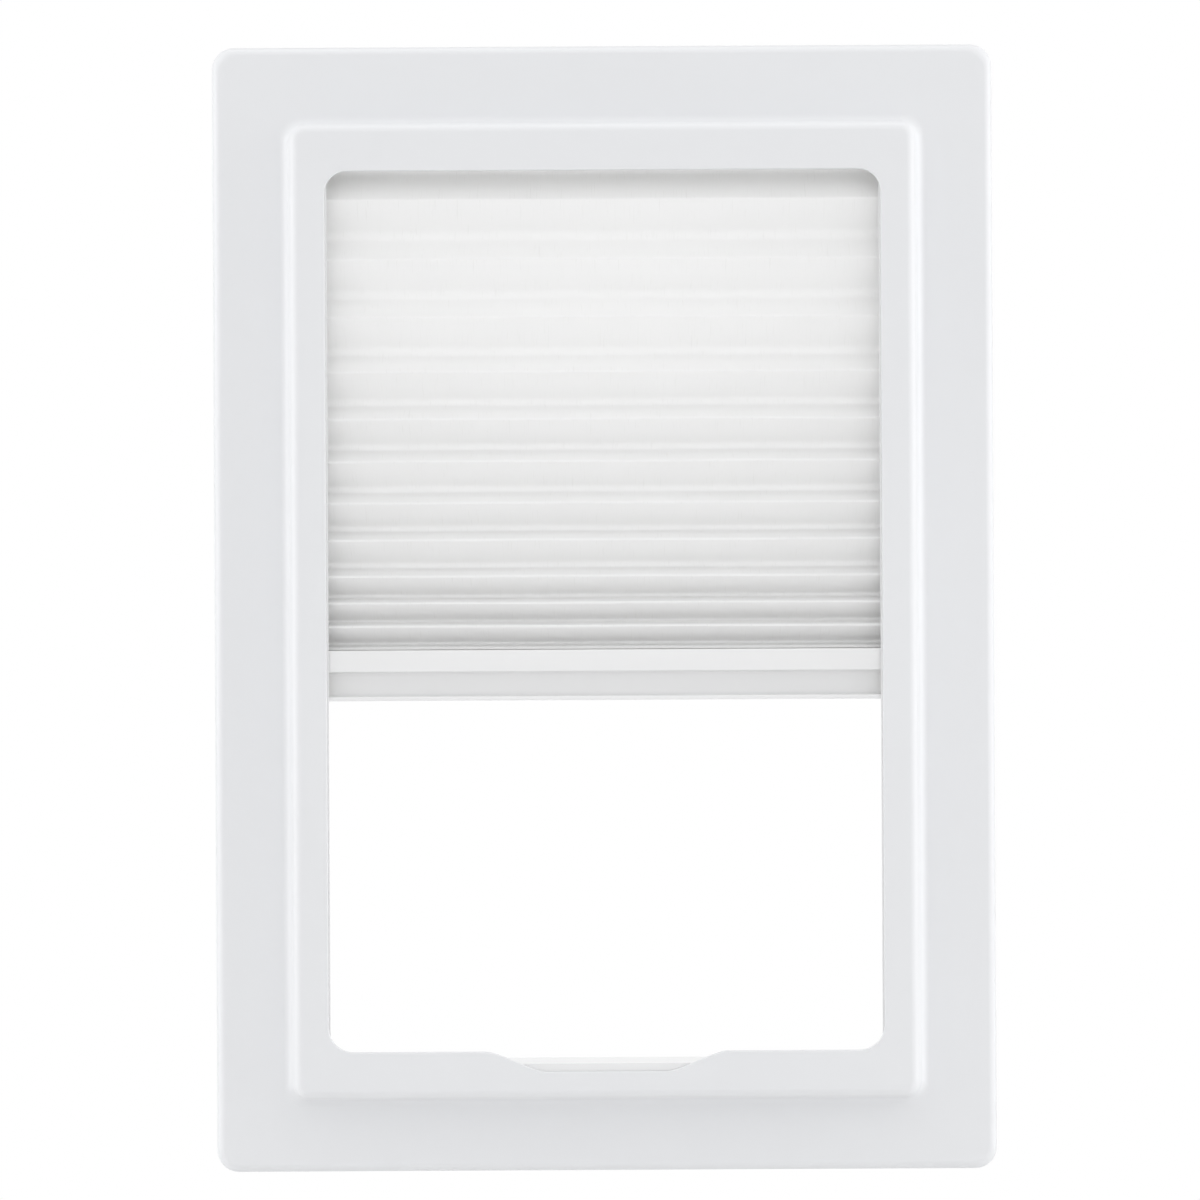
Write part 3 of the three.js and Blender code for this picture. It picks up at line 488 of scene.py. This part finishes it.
def opening_points():
    """Points of the outline with their handles, as (place, handle before, handle after)."""
    half_width, half_height = OPENING_WIDTH / 2, OPENING_HEIGHT / 2
    points = []

    def corner(x, z, radius, from_side):
        """A round corner: where the outline leaves one straight side and where it meets the next."""
        along_x = (x - math.copysign(radius, x), z)
        along_z = (x, z - math.copysign(radius, z))
        pull = radius * ROUND_HANDLE_SHARE
        handle_x = (along_x[0] + math.copysign(pull, x), z)
        handle_z = (x, along_z[1] + math.copysign(pull, z))
        turn = [(along_z, None, handle_z), (along_x, handle_x, None)]
        if not from_side:
            turn = [(place, after, before) for place, before, after in reversed(turn)]
        points.extend(turn)

    corner(half_width, half_height, OPENING_TOP_RADIUS, True)
    corner(-half_width, half_height, OPENING_TOP_RADIUS, False)
    corner(-half_width, -half_height, OPENING_BOTTOM_RADIUS, True)
    wide, narrow = NOTCH_WIDTH / 2, NOTCH_FLAT / 2
    edge, floor_z = -half_height, -half_height - NOTCH_DEPTH
    reach = (wide - narrow) * NOTCH_BEND_SHARE
    points.append(((-wide, edge), None, (-wide + reach, edge)))
    points.append(((-narrow, floor_z), (-narrow - reach, floor_z), None))
    points.append(((narrow, floor_z), None, (narrow + reach, floor_z)))
    points.append(((wide, edge), (wide - reach, edge), None))
    corner(half_width, -half_height, OPENING_BOTTOM_RADIUS, False)
    return points


def opening_prism():
    """The opening's outline as a closed curve, filled, given depth along Y and made a mesh."""
    curve = bpy.data.curves.new("opening_outline", "CURVE")
    curve.dimensions = "2D"
    curve.fill_mode = "BOTH"
    curve.resolution_u = CORNER_SEGMENTS
    curve.extrude = CUTTER_DEPTH / 2
    line = curve.splines.new("BEZIER")
    points = opening_points()
    line.bezier_points.add(len(points) - 1)
    for point, (place, before, after) in zip(line.bezier_points, points):
        point.handle_left_type = "FREE" if before else "VECTOR"
        point.handle_right_type = "FREE" if after else "VECTOR"
        point.co = (*place, 0)
        point.handle_left = (*(before or place), 0)
        point.handle_right = (*(after or place), 0)
    line.use_cyclic_u = True
    cutter = bpy.data.objects.new("opening_cutter", curve)
    cutter.rotation_euler = (math.radians(90), 0, 0)
    cutter.location = (0, bezel_front, 0)
    scene.collection.objects.link(cutter)
    deselect_everything()
    cutter.select_set(True)
    bpy.context.view_layer.objects.active = cutter
    bpy.ops.object.convert(target="MESH")
    cutter = bpy.context.object
    place_in_mesh(cutter)
    bpy.ops.object.mode_set(mode="EDIT")
    bpy.ops.mesh.select_all(action="SELECT")
    bpy.ops.mesh.remove_doubles(threshold=CLOSE)
    bpy.ops.mesh.normals_make_consistent(inside=False)
    bpy.ops.object.mode_set(mode="OBJECT")
    return cutter


cutter = opening_prism()
apply_modifier(fascia, "BOOLEAN", object=cutter, operation="DIFFERENCE", solver="EXACT")
bpy.data.objects.remove(cutter)

# Stiffening ribs behind the flange and screw bosses behind the bezel, joined to the moulding
RIB_THICKNESS = 0.0018
RIB_PITCH = 0.092
RIB_CEILING_GAP = 0.0015
BOSS_RADIUS = 0.003
BOSS_LENGTH = 0.010
BOSS_HOLE_RADIUS = 0.0018
BOSS_INSET = 0.0046
PIN_SIDES = 32
WELD = 0.0005

bezel_back = bezel_front + WALL


def box_piece(name, low, high):
    """A cube primitive brought to two corners."""
    deselect_everything()
    bpy.ops.mesh.primitive_cube_add(size=1)
    piece = bpy.context.object
    piece.name = name
    piece.scale = [b - a for a, b in zip(low, high)]
    piece.location = [(a + b) / 2 for a, b in zip(low, high)]
    place_in_mesh(piece)
    return piece


def spread(low, high):
    """Rib places, evenly spaced at about the ribs' pitch."""
    count = max(math.floor((high - low) / RIB_PITCH), 1)
    return [low + (high - low) * (i + 0.5) / count for i in range(count)]


def join_pieces(name, pieces):
    """Joins pieces to one under a new name."""
    deselect_everything()
    for piece in pieces:
        piece.select_set(True)
    bpy.context.view_layer.objects.active = pieces[0]
    bpy.ops.object.join()
    pieces[0].name = name
    return pieces[0]


def round_pin(name, x, z, radius, start, end):
    """A cylinder primitive along Y between two depths."""
    deselect_everything()
    bpy.ops.mesh.primitive_cylinder_add(
        vertices=PIN_SIDES,
        radius=radius,
        depth=end - start,
        location=(x, (start + end) / 2, z),
        rotation=(math.radians(90), 0, 0),
    )
    piece = bpy.context.object
    piece.name = name
    place_in_mesh(piece)
    return piece


rib_front = flange_front + WALL - WELD
rib_back = -RIB_CEILING_GAP
foot_out = BEZEL_FOOT + WALL
extras = []
for z in spread(-BEZEL_HALF_HEIGHT, BEZEL_HALF_HEIGHT):
    inner = BEZEL_HALF_WIDTH + foot_out
    outer = fascia_high.x - WALL + WELD
    for left, right in [(-outer, -inner), (inner, outer)]:
        low = (left, rib_front, z - RIB_THICKNESS / 2)
        extras.append(box_piece("rib", low, (right, rib_back, z + RIB_THICKNESS / 2)))
for x in spread(-BEZEL_HALF_WIDTH, BEZEL_HALF_WIDTH):
    left, right = x - RIB_THICKNESS / 2, x + RIB_THICKNESS / 2
    inner = BEZEL_HALF_HEIGHT + foot_out
    for low, high in [(inner, fascia_high.z - WALL + WELD), (fascia_low.z + WALL - WELD, -inner)]:
        extras.append(box_piece("rib", (left, rib_front, low), (right, rib_back, high)))

cassette_low, cassette_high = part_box("corner_block_top_right")
boss_x = cassette_high.x - BOSS_INSET
boss_z = cassette_high.z - BOSS_INSET
boss_places = [(x, z) for x in (-boss_x, 0, boss_x) for z in (-boss_z, boss_z)]
boss_tip = bezel_back + BOSS_LENGTH
for x, z in boss_places:
    extras.append(round_pin("boss", x, z, BOSS_RADIUS, bezel_back - WELD, boss_tip))

added = join_pieces("fascia_added", extras)
apply_modifier(fascia, "BOOLEAN", object=added, operation="UNION", solver="EXACT")
bpy.data.objects.remove(added)
holes = join_pieces(
    "boss_holes",
    [round_pin("hole", x, z, BOSS_HOLE_RADIUS, bezel_back + WELD, boss_tip + WELD) for x, z in boss_places],
)
apply_modifier(fascia, "BOOLEAN", object=holes, operation="DIFFERENCE", solver="EXACT")
bpy.data.objects.remove(holes)

# The crisp front edge of the opening and of the notch is broken by less than a millimetre
EDGE_SEGMENTS = 3
FLAT = 1e-5
SIDEWAYS = 0.2
SMOOTH_ANGLE = math.radians(35)

deselect_everything()
fascia.select_set(True)
bpy.context.view_layer.objects.active = fascia
bpy.ops.object.mode_set(mode="EDIT")
bpy.ops.mesh.select_mode(type="EDGE")
shape = bmesh.from_edit_mesh(fascia.data)
for face in shape.faces:
    face.select = False
inside_x, inside_z = face_x - OPENING_EDGE, face_z - OPENING_EDGE
for edge in shape.edges:
    middle = (edge.verts[0].co + edge.verts[1].co) / 2
    front = all(abs(v.co.y - bezel_front) < FLAT for v in edge.verts)
    rim = any(abs(f.normal.y) < SIDEWAYS for f in edge.link_faces)
    edge.select = front and rim and abs(middle.x) < inside_x and abs(middle.z) < inside_z
bmesh.update_edit_mesh(fascia.data)
bpy.ops.mesh.bevel(offset=OPENING_EDGE, segments=EDGE_SEGMENTS, affect="EDGES")
bpy.ops.object.mode_set(mode="OBJECT")

bpy.ops.object.shade_smooth_by_angle(angle=SMOOTH_ANGLE)
apply_modifier(fascia, "WEIGHTED_NORMAL", keep_sharp=True)

fascia.data.materials.clear()
fascia.data.materials.append(white_abs)
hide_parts("fascia")
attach(fascia, "frame")


# Cassette frame and pull rail
# Enamelled aluminium sections: two U channels, the slotted head rail and the sill rail, joined by four nylon
# corner blocks and held on the bosses by six zinc plated screws. The pull rail runs on nylon glides, and steel
# springs keep its cords tight. All these pieces keep their meshes from the model and get their finish here.
white_enamel = grained_material(
    "white_enamel",
    pale=(0.835, 0.836, 0.838),
    deep=(0.815, 0.816, 0.819),
    grain=1400,
    mottle=12,
    gloss=(0.30, 0.38),
    bump=(0.12, 0.00008),
    stretch=(0.15, 1, 1),
)
white_nylon = grained_material(
    "white_nylon",
    pale=(0.76, 0.76, 0.73),
    deep=(0.72, 0.72, 0.69),
    grain=700,
    mottle=40,
    gloss=(0.45, 0.58),
    bump=(0.3, 0.00012),
)
zinc_steel = grained_material(
    "zinc_steel",
    pale=(0.60, 0.61, 0.62),
    deep=(0.42, 0.43, 0.45),
    grain=900,
    mottle=350,
    gloss=(0.28, 0.45),
    bump=(0.15, 0.00008),
    metallic=1.0,
)
spring_steel = grained_material(
    "spring_steel",
    pale=(0.50, 0.51, 0.52),
    deep=(0.38, 0.39, 0.40),
    grain=1500,
    mottle=500,
    gloss=(0.22, 0.35),
    bump=(0.1, 0.00005),
    metallic=1.0,
)
white_cord = grained_material(
    "white_cord",
    pale=(0.76, 0.75, 0.71),
    deep=(0.55, 0.54, 0.50),
    grain=1800,
    mottle=1100,
    gloss=(0.7, 0.85),
    bump=(0.8, 0.0002),
)
slot_materials = {
    "white_enamel": white_enamel,
    "white_nylon": white_nylon,
    "zinc_steel": zinc_steel,
    "spring_steel": spring_steel,
    "white_cord": white_cord,
}


def dress(node_name, material):
    """Gives a piece of the loaded model its finish."""
    slots = frame["nodes"][node_name].data.materials
    slots.clear()
    slots.append(material)


for row in frame["record"]["subparts"]:
    if row["material_slot"] in slot_materials:
        dress(row["node"], slot_materials[row["material_slot"]])


# Pleated shade
# One sheet of white woven polyester with fine slubs, heat set in accordion pleats. Its weight opens the
# upper pleats and lets the lower ones fold up on the rail. Its ends are bonded to stiff strips.
PLEAT_PANEL = 0.025
RIDGE_SHARES = (0.081, 0.203, 0.322, 0.434, 0.530, 0.616, 0.701, 0.776, 0.850, 0.904, 0.951, 0.996)
FIRST_FOLD_SHARE = 0.8
BACK_FOLD_DROP = 0.58
PLEAT_LEAN = 0.0050
PLEAT_LEAN_SHARE = 0.3
CLOTH_THICKNESS = 0.0004
CLOTH_COLUMNS = 72
PANEL_STEPS = 8
PANEL_BOW = 0.0007
FRONT_FOLD_RADIUS = 0.0008
BACK_FOLD_REACH = 0.0050
BACK_FOLD_SHARE = 0.25
BACK_FOLD_MAKEUP = 0.5
FOLD_STEPS = 6
SLOT_HALF = 0.0065
WAVE_DEPTH = 0.00020
WAVE_LIFT = 0.00010
WAVE_FADE = 0.0125
WAVE_TURNS = (7.3, 61)
RIPPLE_TURNS = (15.1, -97)
RIPPLE_SHARE = 0.6
LIFT_TURNS = (5.7, 43)
CLOTH_SMOOTH_ANGLE = math.radians(45)

shade_low, shade_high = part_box("pleated_shade")
rail_low, rail_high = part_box("pull_rail")
head_low, head_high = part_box("head_rail")
block_low, block_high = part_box("corner_block_top_right")
cloth_middle = (block_low.y + block_high.y) / 2
rail_middle = (rail_low.y + rail_high.y) / 2
head_bottom = head_low.z


def ridge_heights():
    """Heights of the front folds, as shares of the way from the head rail down to the pull rail."""
    return [head_bottom - (head_bottom - rail_high.z) * share for share in RIDGE_SHARES]


def pleat_reach(pitch):
    """Half the distance from the front fold to the back fold of a pleat."""
    return math.sqrt(PLEAT_PANEL**2 - (pitch / 2) ** 2) / 2


def back_reach(pitch):
    """The reach of a back fold, with part of what its round turn takes off the corner added."""
    rise = pitch / 2 / PLEAT_PANEL
    turn_loss = BACK_FOLD_REACH * math.sqrt((1 - rise) / (1 + rise))
    return pleat_reach(pitch) + BACK_FOLD_MAKEUP * turn_loss


def fold_line():
    """The cloth's folds in side view, from the head strip to the foot strip, as (depth, height)."""
    ridges = ridge_heights()
    top_valley = ridges[0] + (ridges[0] - ridges[1]) / 2
    line = [(cloth_middle, shade_high.z - CLOTH_THICKNESS)]
    line.append((cloth_middle + FIRST_FOLD_SHARE * back_reach(ridges[0] - ridges[1]), top_valley))
    for i, z in enumerate(ridges):
        last = i + 1 == len(ridges)
        pitch = ridges[i - 1] - z if last else z - ridges[i + 1]
        line.append((cloth_middle - pleat_reach(pitch), z))
        if not last:
            lean = min(PLEAT_LEAN * i / (len(ridges) - 1), pitch * PLEAT_LEAN_SHARE)
            line.append((cloth_middle + back_reach(pitch), z - pitch * BACK_FOLD_DROP - lean))
    line.append((rail_middle - SLOT_HALF, rail_high.z + CLOTH_THICKNESS))
    line.append((rail_middle, shade_low.z + CLOTH_THICKNESS))
    return line


def fold_arc(before, fold, after):
    """The round turn between two panels: creased small at the front, softer at the back."""
    into = (Vector(before) - Vector(fold)).normalized()
    away = (Vector(after) - Vector(fold)).normalized()
    half_angle = into.angle(away) / 2
    radius = FRONT_FOLD_RADIUS
    if fold[0] > max(before[0], after[0]):
        shorter = min(math.dist(before, fold), math.dist(fold, after))
        reach = min(BACK_FOLD_REACH, BACK_FOLD_SHARE * shorter)
        radius = max(radius, reach * math.tan(half_angle))
    centre = Vector(fold) + (into + away).normalized() * (radius / math.sin(half_angle))
    start = Vector(fold) + into * (radius / math.tan(half_angle)) - centre
    turn = math.copysign(math.pi - 2 * half_angle, -into.cross(away))
    arc = []
    for step in range(FOLD_STEPS + 1):
        angle = turn * step / FOLD_STEPS
        across = start.x * math.cos(angle) - start.y * math.sin(angle)
        along = start.x * math.sin(angle) + start.y * math.cos(angle)
        arc.append((centre.x + across, centre.y + along))
    return arc


def panel_rows(start, end):
    """Points down one panel between two folds, with a slight bow."""
    (y0, z0), (y1, z1) = start, end
    length = math.hypot(y1 - y0, z1 - z0)
    normal = (-(z1 - z0) / length, (y1 - y0) / length)
    rows = []
    for step in range(1, PANEL_STEPS):
        share = step / PANEL_STEPS
        bow = -PANEL_BOW * math.sin(math.pi * share)
        y = y0 + (y1 - y0) * share + normal[0] * bow
        rows.append((y, z0 + (z1 - z0) * share + normal[1] * bow))
    return rows


folds = fold_line()
turns = [fold_arc(*three) for three in zip(folds, folds[1:], folds[2:])]
turns = [[folds[0]], *turns, [folds[-1]]]
cloth_rows = list(turns[0])
for above, below in zip(turns, turns[1:]):
    cloth_rows += panel_rows(above[-1], below[0])
    cloth_rows += below

deselect_everything()
bpy.ops.mesh.primitive_grid_add(
    x_subdivisions=CLOTH_COLUMNS, y_subdivisions=len(cloth_rows) - 1, size=1, calc_uvs=True
)
cloth = bpy.context.object
cloth.name = "pleated_cloth"
cloth_half = shade_high.x


def cloth_reach(z):
    """Half the cloth's width, which steps in at the head rail and at the pull rail."""
    if z > head_bottom - CLOTH_THICKNESS:
        return head_high.x
    if z < rail_high.z + CLOTH_THICKNESS:
        return rail_high.x
    return cloth_half


def swell(across, z, turns):
    """A slow wave over the cloth, from its turns across and down."""
    return math.sin(across * turns[0] + z * turns[1])


# The cloth waves by a fifth of a millimetre, less near the head rail and the pull rail, which hold it
columns = CLOTH_COLUMNS + 1
for index, v in enumerate(cloth.data.vertices):
    row = len(cloth_rows) - 1 - index // columns
    share = (index % columns) / CLOTH_COLUMNS
    y, z = cloth_rows[row]
    across = 2 * share - 1
    free = min(1, min(abs(z - head_bottom), abs(z - rail_high.z)) / WAVE_FADE)
    wave = swell(across, z, WAVE_TURNS) + RIPPLE_SHARE * swell(across, z, RIPPLE_TURNS)
    y += WAVE_DEPTH * free * wave
    z += WAVE_LIFT * free * swell(across, z, LIFT_TURNS)
    v.co = (across * cloth_reach(z), y, z)
apply_modifier(cloth, "SOLIDIFY", thickness=CLOTH_THICKNESS, offset=0)
bpy.ops.object.shade_smooth_by_angle(angle=CLOTH_SMOOTH_ANGLE)


# The cloth's colours, how much light it lets through, and how fine its yarns are over its width and length
CLOTH_PALE = (0.955, 0.955, 0.953, 1)
CLOTH_SLUB = (0.890, 0.890, 0.886, 1)
CLOTH_SEE_THROUGH = 0.25
SLUB_SCALE = (330, 42, 1)
YARN_SCALE = (900, 60, 1)
PICK_SCALE = (60, 1500, 1)
WEAVE_NOISE = {"Scale": 1.0, "Detail": 2.0, "Roughness": 0.5}
SLUB_RANGE = {"From Min": 0.60, "From Max": 0.76}
WEAVE_RELIEF = {"Strength": 0.25, "Distance": 0.00015}
CLOTH_ROUGHNESS = 0.85
CLOTH_SHEEN = 0.15
CLOTH_SHEEN_ROUGHNESS = 0.5


def cloth_material():
    """Thin plain weave that lets light through, with slubs: thick places in some of its yarns."""
    material = bpy.data.materials.new("white_cloth")
    material.use_nodes = True
    tree = material.node_tree
    shader = tree.nodes["Principled BSDF"]
    shader.inputs["Roughness"].default_value = CLOTH_ROUGHNESS
    shader.inputs["Sheen Weight"].default_value = CLOTH_SHEEN
    shader.inputs["Sheen Roughness"].default_value = CLOTH_SHEEN_ROUGHNESS
    glow = add_node(tree, "ShaderNodeBsdfTranslucent", inputs={"Color": CLOTH_PALE})
    both = add_node(tree, "ShaderNodeMixShader", inputs={"Fac": CLOTH_SEE_THROUGH})
    place = add_node(tree, "ShaderNodeUVMap", uv_map=cloth.data.uv_layers[0].name)
    slub_map = add_node(tree, "ShaderNodeMapping", inputs={"Scale": SLUB_SCALE})
    yarn_map = add_node(tree, "ShaderNodeMapping", inputs={"Scale": YARN_SCALE})
    pick_map = add_node(tree, "ShaderNodeMapping", inputs={"Scale": PICK_SCALE})
    slubs = add_node(tree, "ShaderNodeTexNoise", inputs=WEAVE_NOISE)
    yarns = add_node(tree, "ShaderNodeTexNoise", inputs=WEAVE_NOISE)
    picks = add_node(tree, "ShaderNodeTexNoise", inputs=WEAVE_NOISE)
    thick = add_node(tree, "ShaderNodeMapRange", inputs=SLUB_RANGE)
    weave = add_node(tree, "ShaderNodeMath", operation="ADD")
    height = add_node(tree, "ShaderNodeMath", operation="ADD")
    tones = add_node(tree, "ShaderNodeMix", data_type="RGBA")
    tones.inputs["A"].default_value = CLOTH_PALE
    tones.inputs["B"].default_value = CLOTH_SLUB
    relief = add_node(tree, "ShaderNodeBump", inputs=WEAVE_RELIEF)
    link = tree.links.new
    for mapping, noise in [(slub_map, slubs), (yarn_map, yarns), (pick_map, picks)]:
        link(place.outputs["UV"], mapping.inputs["Vector"])
        link(mapping.outputs["Vector"], noise.inputs["Vector"])
    link(slubs.outputs["Fac"], thick.inputs["Value"])
    link(yarns.outputs["Fac"], weave.inputs[0])
    link(picks.outputs["Fac"], weave.inputs[1])
    link(weave.outputs["Value"], height.inputs[0])
    link(thick.outputs["Result"], height.inputs[1])
    link(thick.outputs["Result"], tones.inputs["Factor"])
    link(tones.outputs["Result"], shader.inputs["Base Color"])
    link(height.outputs["Value"], relief.inputs["Height"])
    link(relief.outputs["Normal"], shader.inputs["Normal"])
    link(relief.outputs["Normal"], glow.inputs["Normal"])
    link(shader.outputs["BSDF"], both.inputs[1])
    link(glow.outputs["BSDF"], both.inputs[2])
    link(both.outputs["Shader"], tree.nodes["Material Output"].inputs["Surface"])
    return material


cloth.data.materials.clear()
cloth.data.materials.append(cloth_material())
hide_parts("pleated_shade")
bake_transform(cloth, "frame", "rail", start=(0, 0, head_bottom), end=(0, 0, rail_high.z))

# A pleated sheet opens evenly, so each point moves by its share of the way down, with no smooth turn
weights = cloth.data.attributes["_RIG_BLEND"].data
for v, weight in zip(cloth.data.vertices, weights):
    share = (head_bottom - v.co.z) / (head_bottom - rail_high.z)
    weight.value = min(max(share, 0.0), 1.0)


# Guide cords
# Two braided polyester cords, 1.4 mm thick, run from the top corner blocks through the rail's glides and
# across the rail to the springs in the sill rail. Their upright stretches change length with the rail.
CORD_RADIUS = 0.0007
CORD_SIDES = 12
CORD_BEND = 0.004
BEND_STEPS = 6
UPRIGHT_STEPS = 24
HOOK_RADIUS = 0.0011


def cord_tube(name, points):
    """A round cord along a list of points, as a closed mesh."""
    curve = bpy.data.curves.new(name, "CURVE")
    curve.dimensions = "3D"
    curve.bevel_depth = CORD_RADIUS
    curve.bevel_resolution = CORD_SIDES // 4
    curve.use_fill_caps = True
    line = curve.splines.new("POLY")
    line.points.add(len(points) - 1)
    for point, place in zip(line.points, points):
        point.co = (*place, 1)
    piece = bpy.data.objects.new(name, curve)
    scene.collection.objects.link(piece)
    deselect_everything()
    piece.select_set(True)
    bpy.context.view_layer.objects.active = piece
    bpy.ops.object.convert(target="MESH")
    piece = bpy.context.object
    bpy.ops.object.mode_set(mode="EDIT")
    bpy.ops.mesh.select_all(action="SELECT")
    bpy.ops.mesh.remove_doubles(threshold=CLOSE)
    bpy.ops.mesh.normals_make_consistent(inside=False)
    bpy.ops.object.mode_set(mode="OBJECT")
    bpy.ops.object.shade_smooth()
    piece.data.materials.clear()
    piece.data.materials.append(white_cord)
    return piece


def upright(x, y, top, bottom):
    """Points down one straight stretch, close enough for it to follow the rail smoothly."""
    return [(x, y, top + (bottom - top) * i / UPRIGHT_STEPS) for i in range(UPRIGHT_STEPS + 1)]


for side, label in [(-1, "left"), (1, "right")]:
    low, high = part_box(f"upper_cord_{label}")
    x, y = (low.x + high.x) / 2, (low.y + high.y) / 2
    upper = cord_tube(f"upper_guide_cord_{label}", upright(x, y, high.z, low.z))
    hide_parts(f"upper_cord_{label}")
    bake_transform(upper, "frame", "rail", start=(x, y, high.z), end=(x, y, low.z))

    low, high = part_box(f"lower_cord_{label}")
    outer = high.x if side > 0 else -low.x
    inner = low.x if side > 0 else -high.x
    x, y = side * (outer - CORD_RADIUS), (low.y + high.y) / 2
    sill_z = low.z + HOOK_RADIUS
    turn_z = sill_z + CORD_BEND
    route = upright(x, y, high.z, turn_z)
    for i in range(1, BEND_STEPS + 1):
        angle = math.pi / 2 * i / BEND_STEPS
        out = CORD_BEND * (1 - math.cos(angle))
        route.append((x - side * out, y, turn_z - CORD_BEND * math.sin(angle)))
    route.append((side * (inner + HOOK_RADIUS), y, sill_z))
    lower = cord_tube(f"lower_guide_cord_{label}", route)
    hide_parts(f"lower_cord_{label}")
    sill_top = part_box("sill_rail")[1].z
    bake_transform(lower, "rail", "frame", start=(x, y, high.z), end=(x, y, sill_top))
